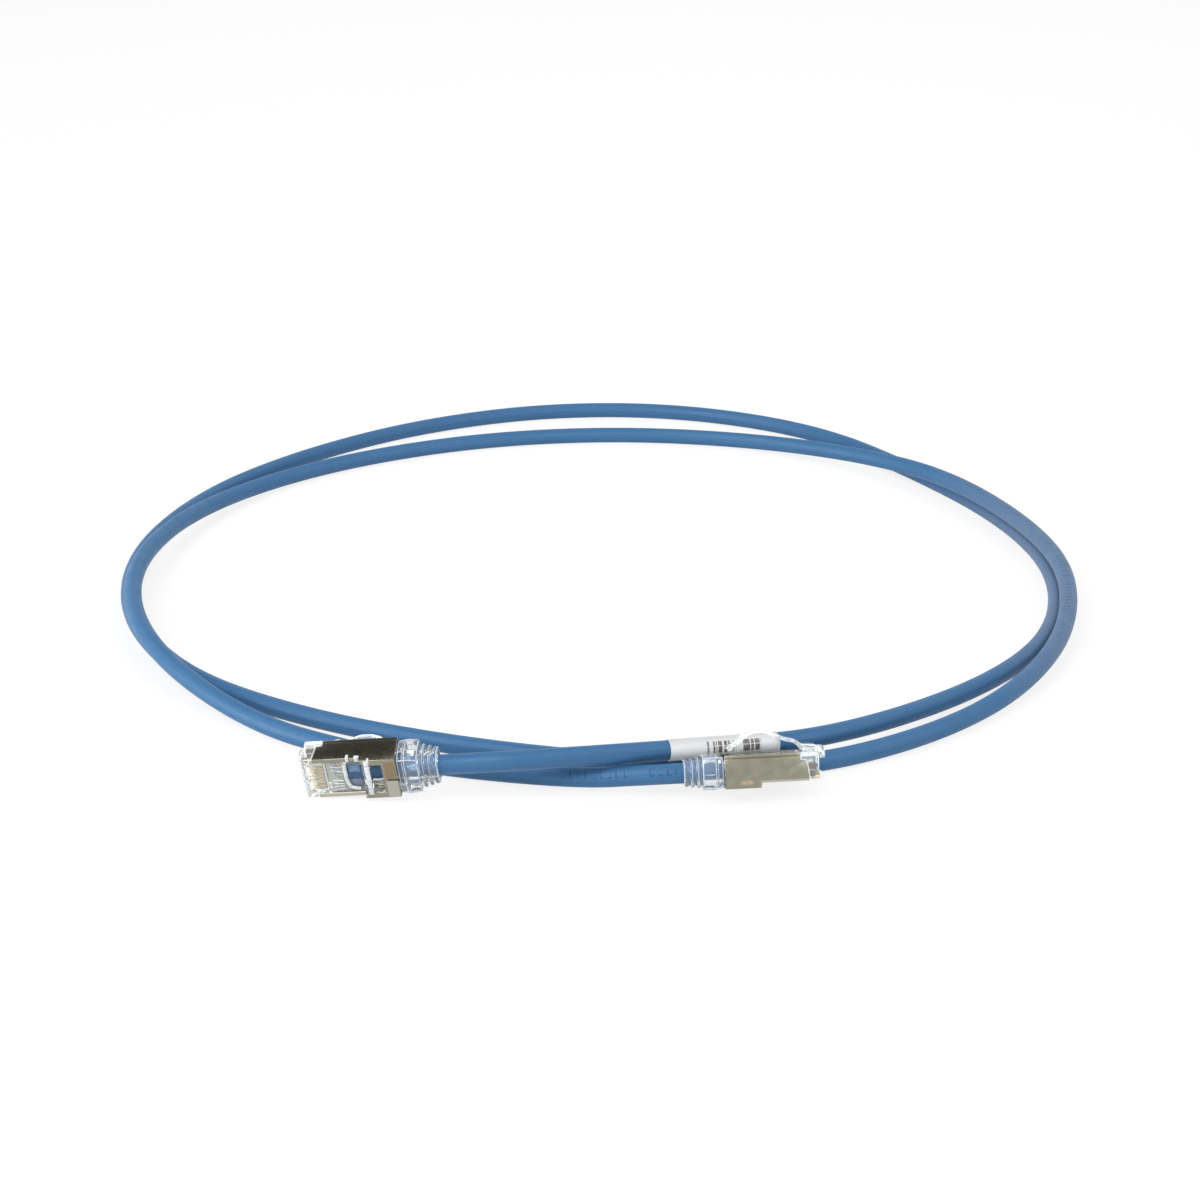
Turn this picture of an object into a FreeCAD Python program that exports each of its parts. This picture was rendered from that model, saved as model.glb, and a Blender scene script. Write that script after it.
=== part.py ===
import FreeCAD, Part
import math
import os
import re
import Sketcher
from FreeCAD import Placement, Rotation, Vector

# A shielded eight-wire patch cord, about 1.7 m long, lying in loose loops.
# Millimetres, +Z up, the floor at Z = 0. The origin is on the floor, midway between the two plugs.
# Each plug is drawn in its own frame: X from the nose to the cable, Y across the width,
# Z from the contact side to the latch side, with X = 0 at the nose and the cable on the axis.

SIZES = {
    # cable
    "cable_diameter": 4.8,
    "jacket_wall": 0.45,
    "core_clearance": 0.1,
    "label_length": 27.4,
    "label_wall": 0.15,
    "label_clearance": 0.03,
    "label_start": 77.1,
    # plug as a whole
    "plug_width": 11.7,
    "half_thickness": 3.85,
    "front_drop": 2.35,
    "shoulder": 14.8,
    "shoulder_run": 0.3,
    "fit_clearance": 0.05,
    # clear housing
    "housing_length": 20.6,
    "face_setback": 0.9,
    "chin_setback": 0.4,
    "chin_top": 0.6,
    "tab_low": 1.95,
    "tab_round": 0.35,
    "block_start": 0.9,
    "block_end": 3.95,
    "block_width": 8.6,
    "block_rise": 1.6,
    "tongue_reach": 0.9,
    "tongue_low": 2.2,
    "tongue_width": 5.6,
    "channel_width": 6.8,
    "channel_floor": 3.1,
    "channel_start": 5.0,
    "window_start": 10.9,
    "window_end": 14.4,
    "window_width": 7.6,
    "rear_window_length": 3.0,
    "rear_window_margin": 1.4,
    "rear_window_width": 8.4,
    "cable_bore_clearance": 0.1,
    # wire space inside the housing
    "wire_height": 1.27,
    "wire_diameter": 0.68,
    "wire_tip": 2.1,
    "wire_bend_start": 7.4,
    "wire_bend_end": 9.8,
    "wire_slot_clearance": 0.08,
    "bundle_radius": 1.18,
    "bundle_spread": 0.8,
    "jacket_start": 10.5,
    "bar_start": 5.65,
    "bar_length": 1.45,
    "bar_width": 9.2,
    "bar_height": 2.0,
    "bar_clearance": 0.1,
    "cavity_end": 9.9,
    "cavity_half_width": 4.7,
    "cavity_low": 1.6,
    "cavity_high": 2.6,
    # contacts
    "contact_count": 8,
    "contact_pitch": 1.016,
    "contact_thickness": 0.35,
    "contact_start": 2.1,
    "contact_length": 3.35,
    "contact_recess": 0.55,
    "contact_gap": 0.05,
    "contact_tooth": 0.8,
    # stamped shield shell
    "shell_wall": 0.3,
    "shell_overhang": 2.1,
    "shell_front_low": 3.3,
    "shell_front_middle": 3.85,
    "shell_front_high": 5.25,
    "shell_lip": 1.15,
    "shell_latch_lip": 2.4,
    "band_length": 3.2,
    "flap_gap": 0.5,
    "flap_gap_place": 0.55,
    "flap_strip": 0.7,
    # ribbed boot
    "boot_clearance": 0.1,
    "spigot_length": 3.3,
    "spigot_width": 9.6,
    "spigot_height": 5.9,
    "boot_gap": 0.1,
    "block_boot_length": 3.3,
    "block_boot_width": 11.2,
    "block_boot_height": 7.9,
    "boot_round": 2.4,
    "tail_length": 4.7,
    "neck_width": 6.8,
    "neck_height": 5.8,
    "rib_count": 3,
    "rib_length": 1.05,
    "rib_width": 9.6,
    "rib_height": 6.8,
    "rib_taper": 0.75,
    # arched latch
    "latch_width": 6.2,
    "latch_neck_width": 4.4,
    "latch_thickness": 0.85,
    "latch_shoulder": 8.2,
    "hinge_setback": 4.0,
    "hinge_rise": 0.8,
    "hinge_radius": 0.5,
    "latch_bend": 1.6,
    "hinge_clearance": 0.06,
    # how the two plugs lie: nose in plan, heading of the cable, its rise and the roll about it
    "left_nose_x": -59.8,
    "left_nose_y": -1.0,
    "left_yaw": -4.0,
    "left_rise": 5.3,
    "left_roll": -74.0,
    "right_nose_x": 60.2,
    "right_nose_y": 1.3,
    "right_yaw": -176.8,
    "right_rise": -1.6,
    "right_roll": 23.1,
    "left_straight": 39.5,
    "right_straight": 14.0,
    "right_setback": 4.3,
}

# The arch of the latch: how far behind its hinge, and how high over the face it lies on.
LATCH_LINE = [
    (1.9, 2.45), (4.2, 3.0), (6.5, 4.0), (8.9, 5.15), (11.5, 5.15),
    (13.4, 4.3), (15.0, 2.75), (16.6, 1.95), (17.5, 1.1),
]

doc = FreeCAD.newDocument("patch_cord")
sheet = doc.addObject("Spreadsheet::Sheet", "sizes")
for row, (alias, number) in enumerate(SIZES.items(), 1):
    sheet.set(f"A{row}", alias)
    sheet.set(f"B{row}", str(number))
    sheet.setAlias(f"B{row}", alias)
doc.recompute()


def size(alias):
    return float(sheet.get(alias))


def tied(text):
    """The same expression with each name pointing at its cell in the sheet."""
    def at_cell(word):
        return f"sizes.{word.group(0)}" if word.group(0) in SIZES else word.group(0)
    return re.sub(r"[a-z_]+", at_cell, text)


# Distances behind the nose that are sums of sizes.
SHELL_RUN = ("housing_length", "shell_overhang")
SPIGOT_RUN = ("housing_length", "boot_gap")
BLOCK_RUN = SPIGOT_RUN + ("spigot_length",)
TAIL_RUN = BLOCK_RUN + ("block_boot_length",)
BOOT_RUN = TAIL_RUN + ("tail_length",)


def reach(run):
    return sum(size(alias) for alias in run)


def reach_text(run):
    return "(" + " + ".join(run) + ")"


# Expressions that several pieces share.
SHELL_END = reach_text(SHELL_RUN)
BOOT_END = reach_text(BOOT_RUN)
INNER_HALF = "(half_thickness - shell_wall)"
HOUSING_HALF = "(half_thickness - shell_wall - fit_clearance)"
HOUSING_WIDTH = "(plug_width - 2 * shell_wall - 2 * fit_clearance)"
CABLE_BORE = "(cable_diameter + 2 * cable_bore_clearance)"
LIP_FACE = "(front_drop + fit_clearance + shell_wall)"
FRONT_GAP = "(2 * fit_clearance)"
WIRE_LOW = "(wire_height - wire_diameter / 2 - wire_slot_clearance)"
ROW_START = "(contact_pitch * (contact_count - 1) / 2)"
BLOCK_TOP = "(half_thickness + block_rise)"
STEP_BACK = "(shoulder - fit_clearance - shell_wall)"


# Helpers that make and tie sketches and features

def origin_feature(body, role):
    for item in body.Origin.OriginFeatures:
        if item.Role == role:
            return item
    raise ValueError(role)


def new_body(label):
    body = doc.addObject("PartDesign::Body", label)
    body.Label = label
    body.AllowCompound = True
    return body


def new_sketch(body, role, offset):
    """Empty sketch on an origin plane, moved along the plane's normal."""
    sketch = body.newObject("Sketcher::SketchObject", f"{body.Name}_outline")
    sketch.AttachmentSupport = (origin_feature(body, role), [""])
    sketch.MapMode = "FlatFace"
    sketch.setExpression("AttachmentOffset.Base.z", tied(offset))
    return sketch


def corner_sketch(body, role, corners, offset="0"):
    """Closed outline whose corners are pairs of expressions in the sheet's names."""
    sketch = new_sketch(body, role, offset)
    count = len(corners)
    turns = [2 * math.pi * i / count for i in range(count)]
    ring = [Vector(math.cos(turn), math.sin(turn), 0) for turn in turns]
    for i in range(count):
        sketch.addGeometry(Part.LineSegment(ring[i], ring[(i + 1) % count]), False)
    for i in range(count):
        sketch.addConstraint(Sketcher.Constraint("Coincident", i, 2, (i + 1) % count, 1))
    for i, (across, along) in enumerate(corners):
        place = sketch.addConstraint(Sketcher.Constraint("DistanceX", -1, 1, i, 1, ring[i].x))
        sketch.setExpression(f"Constraints[{place}]", tied(across))
        place = sketch.addConstraint(Sketcher.Constraint("DistanceY", -1, 1, i, 1, ring[i].y))
        sketch.setExpression(f"Constraints[{place}]", tied(along))
    return sketch


def circle_sketch(body, role, diameter, across="0", along="0", offset="0"):
    sketch = new_sketch(body, role, offset)
    sketch.addGeometry(Part.Circle(Vector(0, 0, 0), Vector(0, 0, 1), 1.0), False)
    for constraint, text in (
        (Sketcher.Constraint("Diameter", 0, 2.0), diameter),
        (Sketcher.Constraint("DistanceX", -1, 1, 0, 3, 0.1), across),
        (Sketcher.Constraint("DistanceY", -1, 1, 0, 3, 0.1), along),
    ):
        place = sketch.addConstraint(constraint)
        sketch.setExpression(f"Constraints[{place}]", tied(text))
    return sketch


def feature(body, kind, sketch, length):
    """Pad or Pocket that reaches half its length to each side of its sketch."""
    made = body.newObject(f"PartDesign::{kind}", f"{body.Name}_{kind.lower()}")
    made.Profile = sketch
    made.Midplane = True
    made.setExpression("Length", tied(length))
    sketch.Visibility = False
    return made


def side_slab(body, kind, corners, width, shift="0"):
    """Side view outline in X and Z, as wide as given, centred on Y = shift."""
    return feature(body, kind, corner_sketch(body, "XZ_Plane", corners, f"-({shift})"), width)


def box(start, end, low, high):
    return [(start, low), (end, low), (end, high), (start, high)]


def repeat_across(body, original, count, pitch):
    """Copies along +Y, the first one being the original."""
    pattern = body.newObject("PartDesign::LinearPattern", f"{body.Name}_row")
    pattern.Originals = [original]
    pattern.Direction = (origin_feature(body, "Y_Axis"), [""])
    pattern.setExpression("Length", tied(f"{pitch} * ({count} - 1)"))
    pattern.setExpression("Occurrences", tied(count))
    body.Tip = pattern
    return pattern


def cross_section(body, start, length, width, height, rounding):
    """Rounded block across the cable, from X = start, with its four long edges rounded."""
    half_w, half_h = f"({width}) / 2", f"({height}) / 2"
    corners = [(f"-{half_w}", f"-{half_h}"), (half_w, f"-{half_h}"), (half_w, half_h), (f"-{half_w}", half_h)]
    sketch = corner_sketch(body, "YZ_Plane", corners, f"({start}) + ({length}) / 2")
    block = feature(body, "Pad", sketch, length)
    doc.recompute()
    middle = sketch.AttachmentOffset.Base.z
    reach = block.Length.Value / 2 + 1e-4
    wide = abs(sketch.Shape.BoundBox.YLength) / 2
    high = abs(sketch.Shape.BoundBox.ZLength) / 2
    names = []
    for number, edge in enumerate(block.Shape.Edges, 1):
        ends = [v.Point for v in edge.Vertexes]
        if len(ends) == 2 and abs(ends[0].x - ends[1].x) > 0.05:
            on_corner = all(abs(abs(p.y) - wide) < 1e-4 and abs(abs(p.z) - high) < 1e-4 for p in ends)
            if on_corner and all(abs(p.x - middle) < reach for p in ends):
                names.append(f"Edge{number}")
    rounded = body.newObject("PartDesign::Fillet", f"{body.Name}_round")
    rounded.Base = (block, names)
    rounded.setExpression("Radius", tied(rounding))
    doc.recompute()
    return rounded


# Paths of straight runs joined by tangent arcs

def bent_edges(points, radii):
    """Edges along the points, with an arc of the given radius at each inner point."""
    edges = []
    here = points[0]
    for before, corner, after, radius in zip(points, points[1:], points[2:], radii):
        into = (corner - before).normalize()
        out = (after - corner).normalize()
        turn = into.getAngle(out)
        reach = radius * math.tan(turn / 2)
        start = corner - into * reach
        end = corner + out * reach
        inward = (out - into).normalize()
        centre = corner + inward * (radius / math.cos(turn / 2))
        middle = centre - inward * radius
        edges.append(Part.LineSegment(here, start).toShape())
        edges.append(Part.Arc(start, middle, end).toShape())
        here = end
    edges.append(Part.LineSegment(here, points[-1]).toShape())
    return edges


def widest_radii(points):
    """Each arc takes 0.45 of the shorter of its two runs on each side of its point."""
    radii = []
    for before, corner, after in zip(points, points[1:], points[2:]):
        into, out = corner - before, after - corner
        turn = into.getAngle(out)
        radii.append(0.45 * min(into.Length, out.Length) / math.tan(turn / 2))
    return radii


def round_tube(edges, outer, inner=0.0):
    """Solid along the edges, with its bore left open where the inner diameter isn't zero."""
    path = Part.Wire(edges)
    start = path.Edges[0].firstVertex().Point
    heading = path.Edges[0].tangentAt(path.Edges[0].FirstParameter)
    disc = Part.Face(Part.Wire(Part.makeCircle(outer / 2, start, heading)))
    if inner:
        disc = disc.cut(Part.Face(Part.Wire(Part.makeCircle(inner / 2, start, heading)))).Faces[0]
    solid = path.makePipe(disc)
    return solid if solid.ShapeType == "Solid" else solid.Solids[0]


def stretch(edges, start, length):
    """The part of a path between two distances along it."""
    kept = []
    walked = 0.0
    for edge in edges:
        low = max(start - walked, 0.0)
        high = min(start + length - walked, edge.Length)
        if high - low > 1e-6:
            first, last = edge.getParameterByLength(low), edge.getParameterByLength(high)
            kept.append(edge.Curve.toShape(first, last))
        walked += edge.Length
    return kept


def add_feature(label, shape, placement=Placement()):
    made = doc.addObject("Part::Feature", label)
    made.Label = label
    made.Shape = shape
    made.Placement = placement
    return made


# Where the two plugs lie: the lowest corner of each shell and chin rests on the floor

def plug_pose(side):
    turn = Rotation(size(f"{side}_yaw"), -size(f"{side}_rise"), size(f"{side}_roll"))
    half_width, half_thick = size("plug_width") / 2, size("half_thickness")
    lip = size("front_drop") + size("fit_clearance") + size("shell_wall")
    profile = [
        (size("shell_front_low"), -lip),
        (size("shoulder"), -half_thick),
        (reach(SHELL_RUN), -half_thick),
        (reach(SHELL_RUN), half_thick),
        (size("shell_front_high"), half_thick),
        (size("chin_setback"), -size("front_drop")),
    ]
    corners = [Vector(along, side_way, up) for along, up in profile for side_way in (half_width, -half_width)]
    height = -min(turn.multVec(corner).z for corner in corners)
    return Placement(Vector(size(f"{side}_nose_x"), size(f"{side}_nose_y"), height), turn)


def on_axis(placement, along):
    return placement.multVec(Vector(along, 0, 0))


left_placement = plug_pose("left")
right_placement = plug_pose("right")

# The route of the cord, from inside the left plug to inside the boot of the right one.
# It lies on the floor at half its diameter, and rises where it crosses itself.
# Near both plugs it runs straight along their axes.
FLOOR = size("cable_diameter") / 2
ROUTE = [
    (31.8, 8.2, 7.7), (64.8, 19.2, 5.0), (105.1, 52.1, FLOOR), (129.4, 85.4, FLOOR),
    (137.7, 129.9, FLOOR), (128.8, 171.9, FLOOR), (107.2, 212.4, FLOOR), (79.8, 250.3, FLOOR),
    (37.7, 271.2, FLOOR), (-6.8, 272.7, FLOOR), (-49.3, 256.2, FLOOR), (-84.8, 226.7, FLOOR),
    (-110.9, 190.9, FLOOR), (-124.0, 145.5, FLOOR), (-119.3, 100.3, FLOOR), (-98.8, 61.5, FLOOR),
    (-66.0, 36.6, FLOOR), (-22.8, 18.8, FLOOR), (22.7, 9.3, FLOOR), (58.8, 8.0, FLOOR),
    (101.4, 34.4, FLOOR), (127.8, 70.4, 4.4), (138.3, 110.7, 7.2), (134.3, 148.7, 7.5),
    (116.4, 191.2, 7.4), (93.5, 220.6, 4.6), (57.6, 242.0, FLOOR), (14.2, 248.4, FLOOR),
    (-29.8, 242.1, FLOOR), (-70.8, 222.7, FLOOR), (-102.1, 191.8, 3.2), (-117.5, 148.3, 7.2),
    (-119.8, 106.6, 7.9), (-106.5, 66.6, 6.6), (-78.0, 34.1, FLOOR), (-50.2, 16.7, FLOOR),
    (-21.8, 7.7, FLOOR), (4.8, 3.1, FLOOR),
]
left_start = size("jacket_start")
right_end = reach(BOOT_RUN) - size("right_setback")
route = [on_axis(left_placement, left_start), on_axis(left_placement, left_start + size("left_straight"))]
route += [Vector(*point) for point in ROUTE]
route += [on_axis(right_placement, right_end + size("right_straight")), on_axis(right_placement, right_end)]
right_jacket_end = on_axis(right_placement, size("jacket_start"))


# Pieces of one plug

def make_housing(label):
    """Clear moulded housing: nose, contact slots, wire space, cable bore and latch channel."""
    body = new_body(label)
    side_slab(body, "Pad", [
        ("face_setback", "-front_drop"),
        ("shoulder - shoulder_run", "-front_drop"),
        ("shoulder", f"-{HOUSING_HALF}"),
        ("housing_length", f"-{HOUSING_HALF}"),
        ("housing_length", HOUSING_HALF),
        ("face_setback", HOUSING_HALF),
    ], HOUSING_WIDTH)
    # full-width front ahead of the shell, with the chin below and a tab on each side above
    side_slab(body, "Pad", [
        ("chin_setback", "-front_drop"),
        (f"shell_front_low - {FRONT_GAP}", "-front_drop"),
        (f"shell_front_middle - {FRONT_GAP}", f"tab_low + {FRONT_GAP}"),
        (f"shell_front_high - tab_round - {FRONT_GAP}", f"tab_low + {FRONT_GAP}"),
        (f"shell_front_high - {FRONT_GAP}", f"tab_low + tab_round + {FRONT_GAP}"),
        (f"shell_front_high - {FRONT_GAP}", "half_thickness"),
        ("face_setback", "half_thickness"),
        ("face_setback", "-chin_top + 0.3"),
        ("chin_setback", "-chin_top"),
    ], "plug_width")
    # raised block that carries the latch, and its tongue ahead of the face
    side_slab(body, "Pad", [
        ("block_start", f"{HOUSING_HALF} - 0.5"),
        ("block_end", f"{HOUSING_HALF} - 0.5"),
        ("block_end", BLOCK_TOP),
        ("block_start + 0.6", BLOCK_TOP),
        ("block_start", f"{BLOCK_TOP} - 0.6"),
    ], "block_width")
    side_slab(body, "Pad", [
        ("-tongue_reach", "tongue_low"),
        ("block_start + 1", "tongue_low"),
        ("block_start + 1", f"{BLOCK_TOP} - 0.4"),
        ("0.5 - tongue_reach", f"{BLOCK_TOP} - 0.4"),
        ("-tongue_reach", f"{BLOCK_TOP} - 1"),
    ], "tongue_width")
    groove = circle_sketch(body, "XZ_Plane", "2 * (hinge_radius + hinge_clearance)",
                           "hinge_setback", "half_thickness + hinge_rise")
    feature(body, "Pocket", groove, "block_width + 1")
    channel = box("channel_start", "housing_length + 1", "channel_floor", "half_thickness + 1")
    side_slab(body, "Pocket", channel, "channel_width")
    # spaces for the wires, the load bar and the cable
    wire_high = "wire_height + wire_diameter / 2 + wire_slot_clearance"
    side_slab(body, "Pocket", box("wire_tip - contact_gap", "bar_start", WIRE_LOW, wire_high),
              f"2 * {ROW_START} + wire_diameter + 2 * wire_slot_clearance")
    side_slab(body, "Pocket", box("bar_start - bar_clearance", "cavity_end", "-cavity_low", "cavity_high"),
              "2 * cavity_half_width")
    bore = circle_sketch(body, "YZ_Plane", CABLE_BORE, offset="(cavity_end + housing_length) / 2 + 0.5")
    feature(body, "Pocket", bore, "housing_length - cavity_end + 1.2")
    # windows on the contact side that show the cable
    side_slab(body, "Pocket", box("window_start", "window_end", "-half_thickness", "0"), "window_width")
    window_end = "(housing_length - rear_window_margin)"
    rear_window = box(f"{window_end} - rear_window_length", window_end, "-half_thickness - 1", "-1.2")
    side_slab(body, "Pocket", rear_window, "rear_window_width")
    # slots for the contacts
    slot_end = "contact_start + contact_length + contact_gap"
    slot_box = box("contact_start - contact_gap", slot_end, "-half_thickness", f"{WIRE_LOW} + 0.05")
    slot = side_slab(body, "Pocket", slot_box, "contact_thickness + 2 * contact_gap", f"-{ROW_START}")
    repeat_across(body, slot, "contact_count", "contact_pitch")
    return body


def make_contacts(label):
    """Row of gold-plated blades with two piercing teeth each."""
    body = new_body(label)
    low = "-(front_drop - contact_recess)"
    seat = f"{WIRE_LOW} + wire_slot_clearance - contact_gap"
    shelf = f"{seat} - contact_tooth"
    end = "contact_start + contact_length"
    blade = side_slab(body, "Pad", [
        ("contact_start", low), (f"{end} - 0.5", low), (end, f"{low} + 0.5"),
        (end, shelf), (f"{end} - 0.5", seat), (f"{end} - 1", shelf),
        ("contact_start + 1.3", shelf), ("contact_start + 0.8", seat), ("contact_start + 0.3", shelf),
        ("contact_start", f"{shelf} - 0.3"),
    ], "contact_thickness", f"-{ROW_START}")
    repeat_across(body, blade, "contact_count", "contact_pitch")
    return body


def make_shell(label):
    """Stamped shield: two side walls with folded lips and a band across the contact side."""
    body = new_body(label)
    side_slab(body, "Pad", [
        ("shell_front_low", f"-{LIP_FACE}"),
        (f"{STEP_BACK} - shoulder_run", f"-{LIP_FACE}"),
        (STEP_BACK, "-half_thickness"),
        (SHELL_END, "-half_thickness"),
        (SHELL_END, "half_thickness"),
        ("shell_front_high", "half_thickness"),
        ("shell_front_high", "tab_low + tab_round"),
        ("shell_front_high - tab_round", "tab_low"),
        ("shell_front_middle", "tab_low"),
    ], "plug_width")
    side_slab(body, "Pocket", [
        ("-1", "-(front_drop + fit_clearance)"),
        ("shoulder - shoulder_run - fit_clearance", "-(front_drop + fit_clearance)"),
        ("shoulder - fit_clearance", f"-{INNER_HALF}"),
        (f"{SHELL_END} + 1", f"-{INNER_HALF}"),
        (f"{SHELL_END} + 1", INNER_HALF),
        ("-1", INNER_HALF),
    ], "plug_width - 2 * shell_wall")
    # open between the lips on the latch side and along the front of the contact side
    side_slab(body, "Pocket", box("-1", f"{SHELL_END} + 1", "0", "half_thickness + 1"),
              "plug_width - 2 * shell_latch_lip")
    side_slab(body, "Pocket", box("-1", "shoulder + 0.3", "-half_thickness - 1", "0"),
              "plug_width - 2 * shell_lip")
    band_start = f"{SHELL_END} - band_length"
    side_slab(body, "Pocket", box("shoulder", band_start, "-half_thickness - 1", "0"), "rear_window_width")
    # gap between the two flaps of the band, which stay joined by a narrow strip
    split = box(f"{band_start} + flap_strip", f"{SHELL_END} + 1", "-half_thickness - 1", "0")
    side_slab(body, "Pocket", split, "flap_gap", "flap_gap_place")
    return body


def make_load_bar(label):
    """Clear bar with a bore for each wire."""
    body = new_body(label)
    middle = "bar_start + bar_length / 2"
    side_slab(body, "Pad", box("bar_start", "bar_start + bar_length", "wire_height - bar_height / 2",
                               "wire_height + bar_height / 2"), "bar_width")
    bore = circle_sketch(body, "YZ_Plane", "wire_diameter + 2 * wire_slot_clearance",
                         f"-{ROW_START}", "wire_height", middle)
    hole = feature(body, "Pocket", bore, "bar_length + 1")
    repeat_across(body, hole, "contact_count", "contact_pitch")
    return body


def make_boot(label):
    """Clear ribbed strain relief with a spigot inside the shell and a tapering ribbed tail."""
    body = new_body(label)
    block, tail = reach_text(BLOCK_RUN), reach_text(TAIL_RUN)
    cross_section(body, tail, "tail_length", "neck_width", "neck_height", "boot_round")
    cross_section(body, reach_text(SPIGOT_RUN), "spigot_length", "spigot_width", "spigot_height", "boot_round / 3")
    cross_section(body, block, "block_boot_length", "block_boot_width", "block_boot_height", "boot_round")
    last_rib = int(size("rib_count")) - 1
    rib_room = "(tail_length - rib_length - 0.45)"
    for rib in range(last_rib + 1):
        start = f"{BOOT_END} - rib_length - {rib_room} * {last_rib - rib} / {last_rib}"
        cross_section(body, start, "rib_length", f"rib_width - rib_taper * {rib}",
                      f"rib_height - rib_taper * {rib} / 2", "boot_round * 0.9")
    bore = circle_sketch(body, "YZ_Plane", "cable_diameter + 2 * boot_clearance", offset=BOOT_END)
    feature(body, "Pocket", bore, f"2 * {BOOT_END}")
    return body


def make_pair(label, wires, placement):
    """Two insulated wires from the contacts, through the load bar, into the bundle in the jacket."""
    pitch = size("contact_pitch")
    middle = (size("contact_count") - 1) / 2
    height = size("wire_height")
    tubes = []
    for number, across, up in wires:
        row = (number - middle) * pitch
        ends = (size("wire_tip"), size("wire_bend_start"), size("wire_bend_end"), size("jacket_start"))
        points = [
            Vector(ends[0], row, height),
            Vector(ends[1], row, height),
            Vector(ends[2], across, up),
            Vector(ends[3], across, up),
        ]
        tubes.append(round_tube(bent_edges(points, [1.2, 1.2]), size("wire_diameter")))
    return add_feature(label, Part.makeCompound(tubes), placement)


def make_latch(label, placement):
    """Arched anti-snag latch, hinged at the nose block, with shoulders that lock in a jack."""
    half = size("latch_thickness") / 2
    face, setback, bend = size("half_thickness"), size("hinge_setback"), size("latch_bend")
    hinge = Vector(setback, 0, face + size("hinge_rise"))
    line = [hinge] + [Vector(setback + back, 0, face + up) for back, up in LATCH_LINE]
    sides = []
    for side in (1, -1):
        shifted = []
        for i, point in enumerate(line):
            before = (point - line[i - 1]).normalize() if i else (line[1] - point).normalize()
            after = (line[i + 1] - point).normalize() if i + 1 < len(line) else before
            normal = (Vector(-before.z, 0, before.x) + Vector(-after.z, 0, after.x)).normalize()
            spread = half / math.cos(before.getAngle(after) / 2)
            shifted.append(point + normal * side * spread)
        radii = []
        for before, point, after in zip(line, line[1:], line[2:]):
            left_turn = (point - before).cross(after - point).y < 0
            radii.append(bend - half * side * (1 if left_turn else -1))
        sides.append(Part.Wire(bent_edges(shifted, radii)))
    upper, lower = sides
    caps = []
    for end in (0, -1):
        caps.append(Part.LineSegment(*(wire.OrderedVertexes[end].Point for wire in sides)).toShape())
    outline = Part.Wire(Part.__sortEdges__(upper.Edges + lower.Edges + caps))
    width, neck = size("latch_width"), size("latch_neck_width")
    outline.translate(Vector(0, -width / 2, 0))
    strip = Part.Face(outline).extrude(Vector(0, width, 0))
    barrel = Part.makeCylinder(size("hinge_radius"), width, hinge - Vector(0, width / 2, 0), Vector(0, 1, 0))
    for side in (1, -1):
        corner = Vector(size("latch_shoulder"), side * (neck + width) / 2 - width / 2, 0)
        strip = strip.cut(Part.makeBox(reach(BOOT_RUN), width, reach(BOOT_RUN), corner))
    return add_feature(label, strip.fuse(barrel).removeSplitter(), placement)


def make_plug(side, placement):
    bodies = [
        make_housing(f"{side}_housing"),
        make_contacts(f"{side}_contacts"),
        make_shell(f"{side}_shell"),
        make_load_bar(f"{side}_load_bar"),
        make_boot(f"{side}_boot"),
    ]
    for body in bodies:
        body.Placement = placement
    radius, spread = size("bundle_radius"), size("bundle_spread") / 2
    pairs = {
        "orange": [(0, -radius - spread, 0), (1, -radius + spread, 0)],
        "green": [(2, -spread, -radius), (5, spread, -radius)],
        "blue": [(3, -spread, radius), (4, spread, radius)],
        "brown": [(6, radius - spread, 0), (7, radius + spread, 0)],
    }
    for colour, wires in pairs.items():
        bodies.append(make_pair(f"{side}_pair_{colour}", wires, placement))
    bodies.append(make_latch(f"{side}_latch", placement))
    return bodies


# Cable: jacket, core and label along the route

def make_cable():
    radii = widest_radii(route)
    print("cord radii, mm:", [round(radius, 1) for radius in radii])
    edges = bent_edges(route, radii)
    last = edges.pop()
    edges.append(Part.LineSegment(last.firstVertex().Point, right_jacket_end).toShape())
    diameter = size("cable_diameter")
    bore = diameter - 2 * size("jacket_wall")
    length = sum(edge.Length for edge in edges)
    jacket = round_tube(edges, diameter, bore)
    core = round_tube(edges, bore - 2 * size("core_clearance"))
    section = math.pi * (diameter ** 2 - bore ** 2) / 4
    print("cord length, mm:", round(length, 1))
    print("volume over section times length:", round(jacket.Volume / (section * length), 5))
    inner = diameter + 2 * size("label_clearance")
    label_path = stretch(edges, size("label_start"), size("label_length"))
    label = round_tube(label_path, inner + 2 * size("label_wall"), inner)
    return [
        add_feature("cable_jacket", jacket),
        add_feature("cable_core", core),
        add_feature("cable_label", label),
    ]


parts = make_plug("left", left_placement) + make_plug("right", right_placement) + make_cable()
doc.recompute()

for item in doc.Objects:
    if "Invalid" in item.State or "Error" in item.State:
        raise RuntimeError(f"{item.Label} failed: {item.State}")
for item in parts:
    if item.Shape.isNull() or not item.Shape.isValid():
        raise RuntimeError(f"{item.Label} has no valid shape")

os.makedirs("parts", exist_ok=True)
for item in parts:
    item.Shape.exportStep(os.path.join("parts", f"{item.Label}.step"))
    bounds = item.Shape.BoundBox
    print(f"{item.Label}: {len(item.Shape.Solids)} solids, {item.Shape.Volume:.2f} mm3,"
          f" z {bounds.ZMin:.2f} to {bounds.ZMax:.2f}")
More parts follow.
